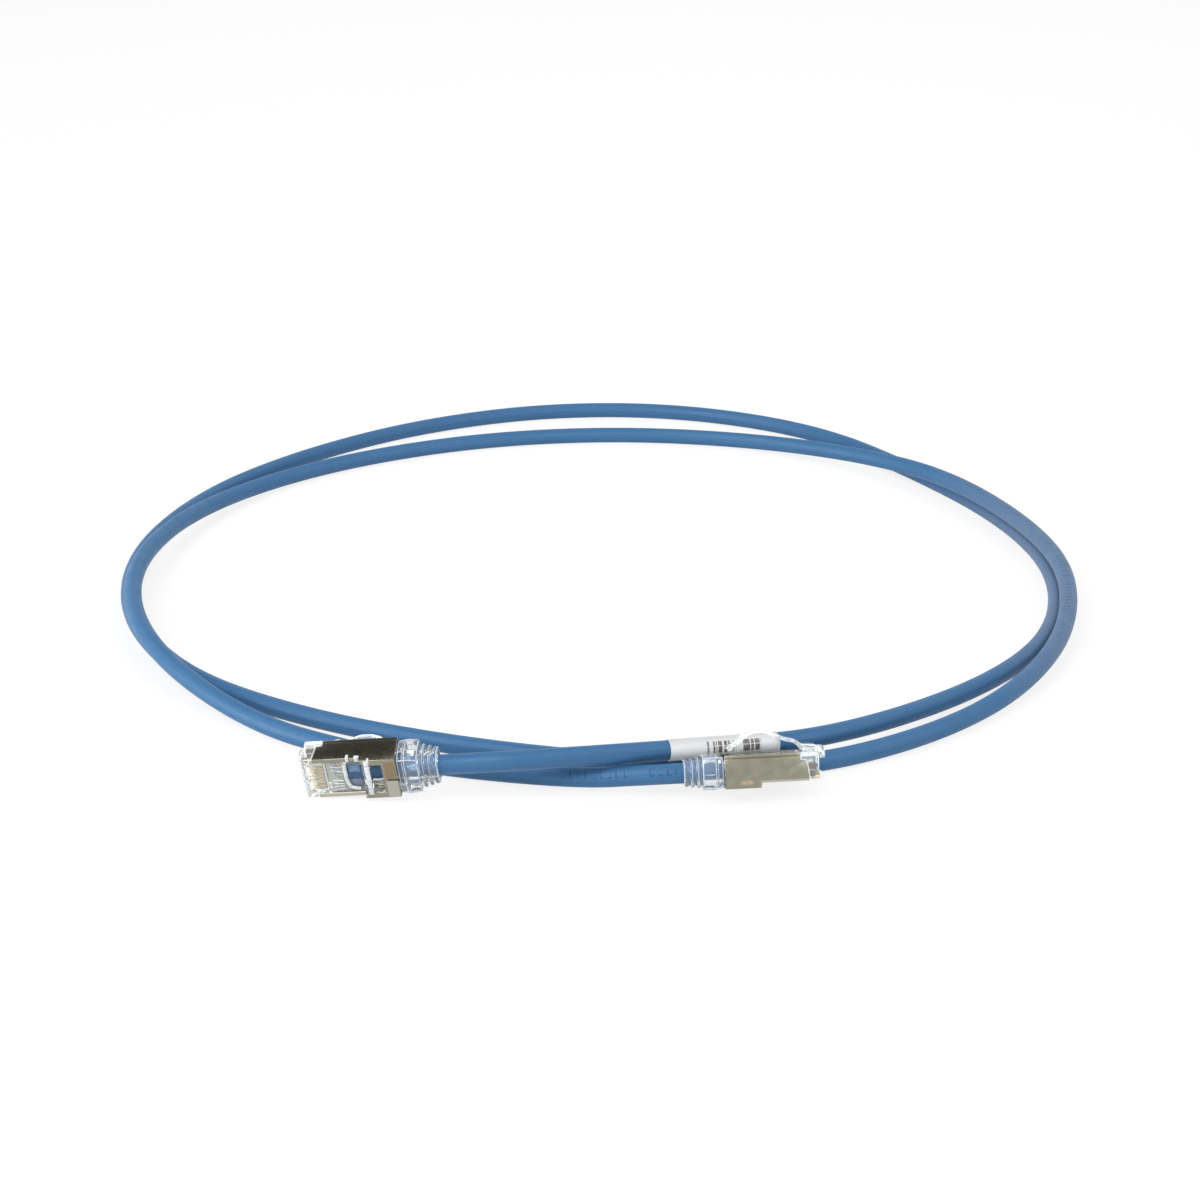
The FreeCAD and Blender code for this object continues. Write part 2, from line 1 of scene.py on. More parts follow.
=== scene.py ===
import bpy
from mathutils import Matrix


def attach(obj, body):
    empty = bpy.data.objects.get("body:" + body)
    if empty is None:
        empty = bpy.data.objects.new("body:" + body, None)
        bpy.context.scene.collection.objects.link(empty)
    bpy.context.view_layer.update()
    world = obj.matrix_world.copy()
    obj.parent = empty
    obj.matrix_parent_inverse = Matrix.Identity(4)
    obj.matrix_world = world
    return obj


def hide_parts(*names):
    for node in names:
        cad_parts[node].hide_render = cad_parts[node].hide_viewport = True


bl_info = {
    "name": "Patch cord",
    "version": (1, 0, 0),
    "blender": (4, 5, 0),
    "location": "View3D > Sidebar > Patch cord",
    "description": "Dresses a shielded patch cord lying in loose loops and sets its stage",
    "category": "Object",
}

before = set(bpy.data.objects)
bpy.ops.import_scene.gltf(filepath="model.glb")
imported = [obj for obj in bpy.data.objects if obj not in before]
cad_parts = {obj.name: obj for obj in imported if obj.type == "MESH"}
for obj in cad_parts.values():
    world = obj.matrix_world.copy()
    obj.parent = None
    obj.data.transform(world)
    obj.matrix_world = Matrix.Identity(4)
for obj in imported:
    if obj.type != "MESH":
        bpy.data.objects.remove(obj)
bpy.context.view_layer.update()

import math

import bmesh
import bpy
from mathutils import Matrix, Vector

SIDES = ("left", "right")
ROOT = "cord_and_plugs"
LATCH_BODY = {"left": "left_latch_arm", "right": "right_latch_arm"}

# Lengths are in metres, apart from the shapes in a plug's own millimetres.
# Height of a strand's middle where it lies on the floor.
FLOOR = 0.0024
# How the cord lies. The jacket starts inside the left plug and ends inside the right one.
ROUTE = [
    (-0.04937, -0.00173, 0.00718), (-0.02056, -0.00374, 0.00986), (-0.01014, -0.00447, 0.01083),
    (0.0318, 0.0082, 0.0077), (0.0648, 0.0192, 0.005), (0.1051, 0.0521, FLOOR), (0.1294, 0.0854, FLOOR),
    (0.1377, 0.1299, FLOOR), (0.1288, 0.1719, FLOOR), (0.1072, 0.2124, FLOOR), (0.0798, 0.2503, FLOOR),
    (0.0377, 0.2712, FLOOR), (-0.0068, 0.2727, FLOOR), (-0.0493, 0.2562, FLOOR), (-0.0848, 0.2267, FLOOR),
    (-0.1109, 0.1909, FLOOR), (-0.1240, 0.1455, FLOOR), (-0.1193, 0.1003, FLOOR), (-0.0988, 0.0615, FLOOR),
    (-0.0660, 0.0366, FLOOR), (-0.0228, 0.0188, FLOOR), (0.0227, 0.0093, FLOOR), (0.0588, 0.0080, FLOOR),
    (0.1014, 0.0344, FLOOR), (0.1278, 0.0704, 0.0044), (0.1383, 0.1107, 0.0072), (0.1343, 0.1487, 0.0075),
    (0.1164, 0.1912, 0.0074), (0.0935, 0.2206, 0.0046), (0.0576, 0.2420, FLOOR), (0.0142, 0.2484, FLOOR),
    (-0.0298, 0.2421, FLOOR), (-0.0708, 0.2227, FLOOR), (-0.1021, 0.1918, 0.0032),
    (-0.1175, 0.1483, 0.0072), (-0.1198, 0.1066, 0.0079), (-0.1065, 0.0666, 0.0066),
    (-0.0780, 0.0341, FLOOR), (-0.0502, 0.0167, FLOOR), (-0.0218, 0.0077, FLOOR), (0.0048, 0.0031, FLOOR),
    (0.01858, -0.00103, 0.0053), (0.03255, -0.00025, 0.00569), (0.04972, 0.00071, 0.00617),
]
# How far behind a plug's nose the jacket starts, and how each plug lies turned.
JACKET_DEPTH = 0.0105
PLUG_ROLL = {"left": math.radians(-74.0), "right": math.radians(23.1)}

# Print on the jacket, in metres along it and turns round it, which are 0 on top and grow towards the front.
TICK_PITCH = 0.0019
WORD_PITCH = 0.0228
TICK_ROW = (0.092, 0.200)
DASH_ROW = (0.186, 0.202)
PRINTED = ((0.340, 0.585), (1.648, 1.676))
# On the far strand the print is turned up by a part of a turn.
PRINTED_FAR = (1.015, 1.150)
TURNED_UP = 0.165
# Ends of the jacket inside the plugs, where painted shade darkens it, and the lay of the twisted pairs that
# ripple it, in radians per metre.
INSIDE_PLUGS = (0.0097, 1.688)
PAIR_LAY = 262.0

# Strokes on the label, and its film, which stands off the jacket by half its wall.
STROKE_PITCH = 0.00025
STROKE_ROWS = ((0.093, 0.162), (0.172, 0.270))
STROKE_GROUPS = ((0.0090, 0.0163), (0.0178, 0.0226))
FILM_WALL = 0.00012

# Contacts and wires, in a plug's millimetres.
CONTACTS = 8
CONTACT_PITCH = 1.016
WIRE = 0.68
WIRE_HEIGHT = 1.27
# Each pair: its colour, its two wires as contact, across and up at the jacket, and which of them is striped.
PAIRS = {
    "orange": ((0.62, 0.30, 0.12), ((0, -1.58, 0.0), (1, -0.78, 0.0)), 0),
    "green": ((0.16, 0.34, 0.20), ((2, -0.4, -1.18), (5, 0.4, -1.18)), 0),
    "blue": ((0.08, 0.16, 0.42), ((3, -0.4, 1.18), (4, 0.4, 1.18)), 1),
    "brown": ((0.28, 0.19, 0.12), ((6, 0.78, 0.0), (7, 1.58, 0.0)), 0),
}
WIRE_WHITE = (0.82, 0.82, 0.80)

# Boot in a plug's millimetres: start and end behind the nose, width, height and rounding of each step.
BOOT_STEPS = (
    (20.7, 22.95, 9.6, 5.9, 0.8), (22.95, 24.15, 10.7, 7.3, 1.6), (24.15, 24.5, 10.1, 6.9, 1.6),
    (24.5, 27.75, 11.3, 7.9, 2.2), (27.75, 28.35, 7.6, 6.0, 2.2), (28.35, 29.05, 9.7, 6.9, 2.2),
    (29.05, 29.75, 7.3, 5.8, 2.2), (29.75, 30.45, 9.0, 6.5, 2.1), (30.45, 31.0, 7.0, 5.7, 2.1),
    (31.0, 32.0, 8.2, 6.1, 2.0),
)
BOOT_BORE = 2.5
# Its milky edges, whose white is partly painted highlight: place behind the nose, width, height and rounding,
# and the thickness of the bead.
BOOT_EDGES = (
    (23.1, 10.5, 7.1, 1.6, 0.2), (24.1, 10.5, 7.1, 1.6, 0.16), (24.65, 11.1, 7.7, 2.2, 0.24),
    (27.6, 11.0, 7.6, 2.2, 0.28), (28.7, 9.55, 6.75, 2.2, 0.16), (30.1, 8.85, 6.35, 2.1, 0.16),
    (31.85, 8.0, 5.9, 2.0, 0.26),
)

# Soft lamps: name, place, size and power. All of them look at one spot.
LAMPS = (
    ("key", (-0.55, -0.55, 0.95), 0.7, 9.0),
    ("fill", (0.75, -0.35, 0.7), 0.8, 4.0),
    ("back", (0.1, 0.9, 0.9), 0.9, 4.5),
    ("side", (-0.85, -0.22, 0.15), 0.45, 5.5),
)
LAMP_AIM = Vector((0.0, 0.08, 0.0))
# Direction of the dark ceiling.
DARK_CEILING = Vector((-0.22, 0.54, 0.81))


def plug_pose(side):
    """Matrix from a plug's own frame to the row frame. Its X runs from the nose along the cable."""
    end, inward = (ROUTE[0], ROUTE[1]) if side == "left" else (ROUTE[-1], ROUTE[-2])
    end = Vector(end)
    heading = (Vector(inward) - end).normalized()
    yaw = Matrix.Rotation(math.atan2(heading.y, heading.x), 4, "Z")
    rise = Matrix.Rotation(-math.asin(heading.z), 4, "Y")
    roll = Matrix.Rotation(PLUG_ROLL[side], 4, "X")
    return Matrix.Translation(end - heading * JACKET_DEPTH) @ yaw @ rise @ roll


# Sizes and colours a user would change

class PatchCordCable(bpy.types.PropertyGroup):
    diameter: bpy.props.FloatProperty(
        name="Diameter", description="Outside diameter of the jacket", default=0.0048, unit="LENGTH")
    real_length: bpy.props.FloatProperty(
        name="Length", description="Length of the jacket from plug to plug", default=1.70, unit="LENGTH")
    jacket: bpy.props.FloatVectorProperty(
        name="Jacket", description="Colour of the jacket", subtype="COLOR", size=3,
        default=(0.024, 0.098, 0.213))
    label_start: bpy.props.FloatProperty(
        name="Label start", description="Where the label starts along the jacket", default=0.0759,
        unit="LENGTH")
    label_length: bpy.props.FloatProperty(
        name="Label length", description="How much of the jacket the label covers", default=0.0274,
        unit="LENGTH")
    label: bpy.props.FloatVectorProperty(
        name="Label", description="Colour of the label", subtype="COLOR", size=3,
        default=(0.66, 0.67, 0.68))


class PatchCordPlug(bpy.types.PropertyGroup):
    clear: bpy.props.FloatVectorProperty(
        name="Clear plastic", description="Tint of the housing and latch", subtype="COLOR", size=3,
        default=(0.95, 0.965, 0.955))
    boot: bpy.props.FloatVectorProperty(
        name="Boot", description="Tint of the ribbed boot", subtype="COLOR", size=3,
        default=(0.83, 0.86, 0.88))
    shell: bpy.props.FloatVectorProperty(
        name="Shell", description="Colour of the plated shell", subtype="COLOR", size=3,
        default=(0.31, 0.30, 0.235))
    gold: bpy.props.FloatVectorProperty(
        name="Contacts", description="Colour of the contact plating", subtype="COLOR", size=3,
        default=(0.90, 0.72, 0.43))
    edge: bpy.props.FloatProperty(
        name="Edge", description="Rounding of moulded and stamped edges", default=0.00012, unit="LENGTH")


class PatchCordStage(bpy.types.PropertyGroup):
    camera: bpy.props.FloatVectorProperty(
        name="Camera", description="Where the camera stands", subtype="XYZ", size=3,
        default=(0.0090, -0.5158, 0.268))
    pitch: bpy.props.FloatProperty(
        name="Pitch", description="How far the camera looks down", subtype="ANGLE",
        default=math.radians(23))
    lens: bpy.props.FloatProperty(name="Lens", description="Focal length in millimetres", default=74.55)
    floor: bpy.props.FloatVectorProperty(
        name="Floor", description="Colour of the floor", subtype="COLOR", size=3, default=(0.86, 0.86, 0.87))


# Node helpers

def new_finish(name):
    """A node material, its tree and its Principled shader."""
    finish = bpy.data.materials.new(name)
    finish.use_nodes = True
    return finish, finish.node_tree, finish.node_tree.nodes["Principled BSDF"]


def add_node(tree, kind, inputs=None, **settings):
    """One node. An input is a number, a colour or another node's output."""
    made = tree.nodes.new(kind)
    for key, value in settings.items():
        setattr(made, key, value)
    for key, value in (inputs or {}).items():
        if isinstance(value, bpy.types.NodeSocket):
            tree.links.new(value, made.inputs[key])
        else:
            made.inputs[key].default_value = value
    return made


def maths(tree, operation, *values):
    """One Math node. A value is a number or another node's output."""
    return add_node(tree, "ShaderNodeMath", dict(enumerate(values)), operation=operation).outputs[0]


def times(tree, first, *others):
    """Product of all its values."""
    for other in others:
        first = maths(tree, "MULTIPLY", first, other)
    return first


def plus(tree, first, *others):
    """Sum of all its values."""
    for other in others:
        first = maths(tree, "ADD", first, other)
    return first


def ramp(tree, value, from_low, from_high, low=0.0, high=1.0):
    """A value between two others, stretched to low and high and held there beyond them."""
    made = add_node(tree, "ShaderNodeMapRange", {
        "Value": value, "From Min": from_low, "From Max": from_high, "To Min": low, "To Max": high})
    return made.outputs[0]


def spread(tree, value, low, high):
    """The middle of a noise, 0.3 to 0.7, stretched to low and high."""
    return ramp(tree, value, 0.3, 0.7, low, high)


def between(tree, value, low, high, soft):
    """1 where the value lies between low and high, with soft ends, and 0 elsewhere."""
    rising = ramp(tree, value, low - soft, low + soft)
    falling = ramp(tree, value, high - soft, high + soft, 1.0, 0.0)
    return times(tree, rising, falling)


def blend_colours(tree, share, first, second):
    """Mix of two colours. Each is a triple or another node's output."""
    mix = add_node(tree, "ShaderNodeMix", data_type="RGBA")
    for socket, value in ((mix.inputs[0], share), (mix.inputs[6], first), (mix.inputs[7], second)):
        if isinstance(value, bpy.types.NodeSocket):
            tree.links.new(value, socket)
        else:
            socket.default_value = (*value, 1.0)
    return mix.outputs[2]


def toned(colour, share, lift=0.0):
    """A colour times a share, lifted by a little grey."""
    return tuple(min(1.0, part * share + lift) for part in colour)


def noise(tree, place, scale, detail=3.0, roughness=0.5):
    """Smooth noise over a place, around 0.5."""
    return add_node(tree, "ShaderNodeTexNoise", {
        "Vector": place, "Scale": scale, "Detail": detail, "Roughness": roughness}).outputs["Fac"]


def scatter(tree, number):
    """A random value for each whole number."""
    return add_node(tree, "ShaderNodeTexWhiteNoise", {"W": number}, noise_dimensions="1D").outputs["Value"]


def set_colour(tree, shader, colour):
    """Base colour from a node's output."""
    tree.links.new(colour, shader.inputs["Base Color"])


def set_roughness(tree, shader, grain, low, high):
    """Roughness that varies with a noise."""
    tree.links.new(spread(tree, grain, low, high), shader.inputs["Roughness"])


def set_bump(tree, shader, height, depth, strength):
    """Relief of a height, in metres of depth."""
    relief = add_node(tree, "ShaderNodeBump", {"Height": height, "Strength": strength, "Distance": depth})
    tree.links.new(relief.outputs[0], shader.inputs["Normal"])


def object_place(tree):
    """Place on the piece, in metres of the row frame."""
    return add_node(tree, "ShaderNodeTexCoord").outputs["Object"]


def wrap_place(tree):
    """Place on a wrapped surface, whole and as metres along the cable and turns round it."""
    wrap = add_node(tree, "ShaderNodeUVMap", uv_map="wrap").outputs[0]
    parts = add_node(tree, "ShaderNodeSeparateXYZ", {0: wrap}).outputs
    return wrap, parts[0], parts[1]


def plug_place(tree, side):
    """Place in a plug's own millimetres, whole and as behind the nose, across, and towards the latch."""
    inverse = plug_pose(side).inverted()
    place = add_node(tree, "ShaderNodeMapping", {
        "Vector": object_place(tree), "Location": inverse.translation * 1000,
        "Rotation": inverse.to_3x3().to_euler("XYZ"), "Scale": (1000, 1000, 1000)}).outputs[0]
    parts = add_node(tree, "ShaderNodeSeparateXYZ", {0: place}).outputs
    return place, parts[0], parts[1], parts[2]


def mix_into_surface(tree, share, first, second):
    """The material's surface as a mix of two shader nodes."""
    mix = add_node(tree, "ShaderNodeMixShader", {0: share, 1: first.outputs[0], 2: second.outputs[0]})
    tree.links.new(mix.outputs[0], tree.nodes["Material Output"].inputs["Surface"])


def let_lamps_through(tree, shader, tint):
    """Clear plastic that keeps its refraction for the eye and passes lamp light straight on."""
    rays = add_node(tree, "ShaderNodeLightPath")
    film = add_node(tree, "ShaderNodeBsdfTransparent", {"Color": (*tint, 1.0)})
    mix_into_surface(tree, rays.outputs["Is Shadow Ray"], shader, film)


def seen(tree, rays):
    """1 for rays from the camera, straight on or by way of gloss and clear plastic, and 0 for the others."""
    by_way = maths(tree, "MAXIMUM", rays.outputs["Is Glossy Ray"], rays.outputs["Is Transmission Ray"])
    return maths(tree, "MAXIMUM", rays.outputs["Is Camera Ray"], by_way)


# Finishes

def jacket_finish(colour):
    """Satin jacket with faint lengthwise streaks, the soft ripple of the pairs, small pale marks and painted
    shade inside the plugs.
    """
    finish, tree, shader = new_finish("satin_blue_jacket")
    wrap, along, around = wrap_place(tree)
    place = object_place(tree)
    streaks = add_node(tree, "ShaderNodeMapping", {"Vector": wrap, "Scale": (8.0, 14.0, 1.0)}).outputs[0]
    tone = spread(tree, noise(tree, streaks, 3.0), 0.0, 1.0)
    base = blend_colours(tree, tone, colour, toned(colour, 1.22, 0.008))
    dust = spread(tree, noise(tree, place, 900.0, 4.0), 0.0, 0.16)
    base = blend_colours(tree, dust, base, toned(colour, 1.5, 0.02))
    # scuffed and greyer where the coil bends hardest on the right
    across = add_node(tree, "ShaderNodeSeparateXYZ", {0: place}).outputs[0]
    bend = ramp(tree, across, 0.108, 0.130)
    scuffs = times(tree, bend, spread(tree, noise(tree, place, 1300.0, 5.0, 0.65), 0.15, 0.85))
    base = blend_colours(tree, scuffs, base, (0.13, 0.165, 0.235))
    # painted shade on the jacket inside the plugs
    first_end, last_end = INSIDE_PLUGS
    inside = plus(tree, maths(tree, "LESS_THAN", along, first_end),
                  maths(tree, "GREATER_THAN", along, last_end))
    base = blend_colours(tree, times(tree, inside, 0.55), base, (0.030, 0.048, 0.078))
    # small dark ticks and dashes in groups, like a row of print too small to read
    far_print = between(tree, along, *PRINTED_FAR, 0.001)
    row = plus(tree, around, times(tree, far_print, TURNED_UP))
    counted = maths(tree, "DIVIDE", along, TICK_PITCH)
    cell = maths(tree, "FLOOR", counted)
    within = maths(tree, "FRACT", counted)
    some = maths(tree, "GREATER_THAN", scatter(tree, cell), 0.35)
    others = maths(tree, "GREATER_THAN", scatter(tree, plus(tree, cell, 0.37)), 0.40)
    tick = times(tree, between(tree, within, 0.16, 0.29, 0.03), some, between(tree, row, *TICK_ROW, 0.006))
    dash = times(tree, between(tree, within, 0.16, 0.70, 0.03), others, between(tree, row, *DASH_ROW, 0.004))
    groups = plus(tree, *[between(tree, along, start, end, 0.001) for start, end in PRINTED], far_print)
    words = maths(tree, "FRACT", maths(tree, "DIVIDE", along, WORD_PITCH))
    words = maths(tree, "GREATER_THAN", words, 0.17)
    marks = times(tree, maths(tree, "MAXIMUM", tick, dash), times(tree, groups, words))
    base = blend_colours(tree, times(tree, marks, 0.75), base, toned(colour, 0.35))
    set_colour(tree, shader, base)
    set_roughness(tree, shader, noise(tree, place, 260.0), 0.42, 0.56)
    # the pairs run round the cable as they go along it
    lay = times(tree, plus(tree, along, times(tree, around, 0.024)), PAIR_LAY)
    ripple = times(tree, maths(tree, "SINE", lay), 0.5)
    grain = times(tree, noise(tree, place, 2600.0, 2.0), 0.35)
    set_bump(tree, shader, plus(tree, ripple, grain), 0.00003, 0.6)
    shader.inputs["Specular IOR Level"].default_value = 0.32
    return finish


def pressed_finish(side, colour):
    """Jacket squeezed flat inside the housing, paler where it is stretched and grey towards its lower end."""
    finish, tree, shader = new_finish(f"pressed_blue_jacket_{side}")
    place = object_place(tree)
    cloud = spread(tree, noise(tree, place, 520.0, 3.0, 0.6), 0.0, 1.0)
    base = blend_colours(tree, cloud, toned(colour, 1.1), toned(colour, 1.2, 0.24))
    across = plug_place(tree, side)[2]
    base = blend_colours(tree, ramp(tree, across, 0.2, 2.6, 0.0, 0.85), base, (0.13, 0.14, 0.17))
    set_colour(tree, shader, base)
    set_roughness(tree, shader, noise(tree, place, 800.0), 0.25, 0.45)
    set_bump(tree, shader, cloud, 0.00015, 0.7)
    return finish


def label_finish(colour):
    """Satin paper-white wrap with two rows of dark strokes on the side that faces up and out, and painted
    shade along its top.
    """
    finish, tree, shader = new_finish("white_wrap_label")
    along, around = wrap_place(tree)[1:]
    place = object_place(tree)
    tone = spread(tree, noise(tree, place, 420.0), 0.0, 1.0)
    base = blend_colours(tree, tone, colour, toned(colour, 1.05))
    # painted shade: a little darker along the top
    top = ramp(tree, maths(tree, "ABSOLUTE", around), 0.20, 0.02)
    base = blend_colours(tree, top, base, toned(colour, 0.74))
    cell = maths(tree, "FLOOR", maths(tree, "DIVIDE", along, STROKE_PITCH))
    strokes = maths(tree, "GREATER_THAN", scatter(tree, cell), 0.34)
    rows = plus(tree, *[between(tree, around, low, high, 0.006) for low, high in STROKE_ROWS])
    groups = plus(tree, *[between(tree, along, start, end, 0.0001) for start, end in STROKE_GROUPS])
    marks = times(tree, strokes, times(tree, rows, groups))
    uneven = spread(tree, noise(tree, place, 1500.0), 0.75, 1.0)
    base = blend_colours(tree, times(tree, marks, uneven), base, (0.050, 0.042, 0.035))
    # the film's free edge runs along the cable
    seam = between(tree, around, -0.085, -0.080, 0.002)
    base = blend_colours(tree, times(tree, seam, 0.45), base, (0.40, 0.41, 0.43))
    set_colour(tree, shader, base)
    set_roughness(tree, shader, noise(tree, place, 300.0), 0.30, 0.42)
    set_bump(tree, shader, plus(tree, noise(tree, place, 500.0), seam), 0.00004, 0.5)
    return finish


def clear_finish(name, tint, index, roughness, milk, wave=0.00002):
    """Moulded clear plastic with slow waves in its skin and a share of milky haze."""
    finish, tree, shader = new_finish(name)
    place = object_place(tree)
    shader.inputs["Base Color"].default_value = (*tint, 1.0)
    shader.inputs["Transmission Weight"].default_value = 1.0 - milk
    shader.inputs["IOR"].default_value = index
    set_roughness(tree, shader, noise(tree, place, 700.0, 4.0), *roughness)
    set_bump(tree, shader, noise(tree, place, 380.0, 2.0), wave, 0.5)
    let_lamps_through(tree, shader, tint)
    return finish


def frosted_finish(name, colour):
    """Thick milky edge of clear plastic, white partly from its haze and partly as painted highlight for the
    glints along clear edges.
    """
    finish, tree, shader = new_finish(name)
    place = object_place(tree)
    tone = spread(tree, noise(tree, place, 900.0, 4.0), 0.0, 1.0)
    set_colour(tree, shader, blend_colours(tree, tone, toned(colour, 0.90), colour))
    shader.inputs["Transmission Weight"].default_value = 0.35
    shader.inputs["IOR"].default_value = 1.5
    set_roughness(tree, shader, noise(tree, place, 1200.0), 0.22, 0.40)
    set_bump(tree, shader, noise(tree, place, 800.0), 0.00002, 0.5)
    return finish


def shell_finish(side, colour):
    """Plated sheet with fine rolling lines, a pressed crease with painted shade in it, two rear flaps with
    painted reflections, dark on one and pale on the other, and a painted glint.
    """
    finish, tree, shader = new_finish(f"plated_shell_{side}")
    place, behind, across, up = plug_place(tree, side)
    lines = add_node(tree, "ShaderNodeMapping", {"Vector": place, "Scale": (0.25, 3.0, 6.0)}).outputs[0]
    cloud = spread(tree, noise(tree, place, 0.45, 4.0), 0.0, 1.0)
    base = blend_colours(tree, cloud, toned(colour, 0.86), toned(colour, 1.08))
    rolled = noise(tree, lines, 4.0, 3.0)
    base = blend_colours(tree, spread(tree, rolled, 0.0, 0.25), base, toned(colour, 0.72))
    # creases pressed in along both narrow sides, with painted shade in them
    crease = times(tree, between(tree, up, 2.95, 3.35, 0.1), between(tree, behind, 5.6, 23.0, 0.3))
    base = blend_colours(tree, times(tree, crease, 0.75), base, (0.13, 0.105, 0.07))
    # flaps of the rear band on the contact side, with painted reflections: dark brown on one, pale on the
    # other
    band = times(tree, between(tree, behind, 19.85, 22.45, 0.08), maths(tree, "LESS_THAN", up, -3.6))
    warm = times(tree, band, between(tree, across, -5.1, 0.3, 0.08))
    pale = times(tree, band, between(tree, across, 0.8, 5.6, 0.08))
    base = blend_colours(tree, times(tree, warm, 0.9), base, (0.27, 0.205, 0.125))
    base = blend_colours(tree, times(tree, pale, 0.8), base, (0.47, 0.465, 0.42))
    # brighter lip along the lower side of the window, and a warm painted glint above the rear band
    lip = times(tree, maths(tree, "LESS_THAN", up, -2.2), maths(tree, "GREATER_THAN", across, 4.5),
                between(tree, behind, 3.0, 14.5, 0.4))
    base = blend_colours(tree, times(tree, lip, 0.8), base, (0.50, 0.49, 0.42))
    spot = times(tree, between(tree, behind, 16.3, 19.2, 0.5), between(tree, up, -3.0, -2.1, 0.3),
                 maths(tree, "GREATER_THAN", across, 5.3),
                 spread(tree, noise(tree, place, 2.2, 4.0), 0.2, 1.0))
    set_colour(tree, shader, blend_colours(tree, spot, base, (0.66, 0.50, 0.32)))
    shader.inputs["Metallic"].default_value = 1.0
    set_roughness(tree, shader, noise(tree, place, 1.6, 4.0), 0.20, 0.28)
    relief = maths(tree, "SUBTRACT", times(tree, rolled, 0.06), times(tree, crease, 0.4))
    set_bump(tree, shader, relief, 0.00006, 0.6)
    return finish


def gold_finish(side, colour):
    """Gold plating, thin and greyer along the middle of each blade's edge, with painted shade deep in the
    plastic.
    """
    finish, tree, shader = new_finish(f"gold_plating_{side}")
    place, behind, _, up = plug_place(tree, side)
    tone = spread(tree, noise(tree, place, 3.0, 3.0), 0.0, 1.0)
    base = blend_colours(tree, tone, colour, toned(colour, 1.12))
    worn = times(tree, between(tree, behind, 2.85, 4.15, 0.15), 0.65)
    base = blend_colours(tree, worn, base, (0.36, 0.36, 0.27))
    # painted shade on the metal that lies deep in the plastic
    shaded = times(tree, maths(tree, "GREATER_THAN", up, -1.55), 0.85)
    set_colour(tree, shader, blend_colours(tree, shaded, base, (0.13, 0.08, 0.04)))
    shader.inputs["Metallic"].default_value = 1.0
    set_roughness(tree, shader, noise(tree, place, 5.0), 0.22, 0.36)
    set_bump(tree, shader, noise(tree, place, 8.0), 0.00002, 0.5)
    return finish


def shaded_finish():
    """Near-black brown, painted shade on the blades' sides deep in the clear plastic."""
    finish, tree, shader = new_finish("near_black_painted_shade")
    place = object_place(tree)
    tone = spread(tree, noise(tree, place, 1600.0, 3.0), 0.0, 1.0)
    set_colour(tree, shader, blend_colours(tree, tone, (0.008, 0.005, 0.003), (0.07, 0.045, 0.02)))
    set_roughness(tree, shader, noise(tree, place, 700.0), 0.45, 0.65)
    set_bump(tree, shader, tone, 0.00003, 0.5)
    return finish


def wire_finish(name, colour, stripe=None):
    """Smooth insulation, plain or white with a coloured stripe."""
    finish, tree, shader = new_finish(name)
    place = object_place(tree)
    tone = spread(tree, noise(tree, place, 900.0), 0.0, 1.0)
    base = blend_colours(tree, tone, toned(colour, 0.9), colour)
    if stripe:
        surface = add_node(tree, "ShaderNodeUVMap", uv_map="UVMap").outputs[0]
        around = add_node(tree, "ShaderNodeSeparateXYZ", {0: surface}).outputs[1]
        base = blend_colours(tree, between(tree, around, 0.35, 0.6, 0.02), base, stripe)
    set_colour(tree, shader, base)
    set_roughness(tree, shader, noise(tree, place, 500.0), 0.3, 0.45)
    set_bump(tree, shader, noise(tree, place, 2000.0), 0.00001, 0.4)
    return finish


def foil_finish():
    """Crumpled metal foil round the wires, and the strands of its drain wire."""
    finish, tree, shader = new_finish("crumpled_foil")
    place = object_place(tree)
    folds = noise(tree, place, 1100.0, 4.0, 0.6)
    tone = spread(tree, folds, 0.0, 1.0)
    set_colour(tree, shader, blend_colours(tree, tone, (0.20, 0.18, 0.15), (0.80, 0.78, 0.72)))
    shader.inputs["Metallic"].default_value = 1.0
    set_roughness(tree, shader, noise(tree, place, 600.0), 0.22, 0.40)
    set_bump(tree, shader, folds, 0.0002, 0.8)
    return finish


# Mesh helpers

def add_piece(name, mesh, body, finishes, replaced=(), smooth=32):
    """Object for a finished mesh, smooth up to so many degrees, that rides on a body."""
    mesh.name = name
    piece = bpy.data.objects.new(name, mesh)
    bpy.context.collection.objects.link(piece)
    for finish in finishes:
        mesh.materials.append(finish)
    mesh.shade_smooth()
    mesh.set_sharp_from_angle(angle=math.radians(smooth))
    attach(piece, body)
    if replaced:
        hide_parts(*replaced)
    return piece


def add_plug_piece(side, part, work, finishes, replaced=(), smooth=32):
    """Piece of a plug from a bmesh drawn in the plug's millimetres, moved to its place in the row frame."""
    name = f"{side}_{part}"
    bmesh.ops.transform(work, matrix=plug_pose(side) @ Matrix.Scale(0.001, 4), verts=work.verts)
    bmesh.ops.recalc_face_normals(work, faces=work.faces)
    mesh = bpy.data.meshes.new(name)
    work.to_mesh(mesh)
    work.free()
    return add_piece(name, mesh, ROOT, finishes, replaced, smooth)


def round_edges(work, edges, width, segments, finish=-1):
    """Rounded edges, in a finish of their own if asked."""
    bmesh.ops.bevel(work, geom=edges, offset=width, offset_type="OFFSET", segments=segments, profile=0.5,
                    affect="EDGES", clamp_overlap=True, material=finish)


def add_block(work, low, high, rounding, segments=2):
    """Box between two corners, its edges rounded."""
    made = bmesh.ops.create_cube(work, size=1.0)["verts"]
    size = [b - a for a, b in zip(low, high)]
    middle = [(a + b) / 2 for a, b in zip(low, high)]
    bmesh.ops.scale(work, vec=size, verts=made)
    bmesh.ops.translate(work, vec=middle, verts=made)
    edges = {edge for vert in made for edge in vert.link_edges}
    round_edges(work, list(edges), rounding, segments)


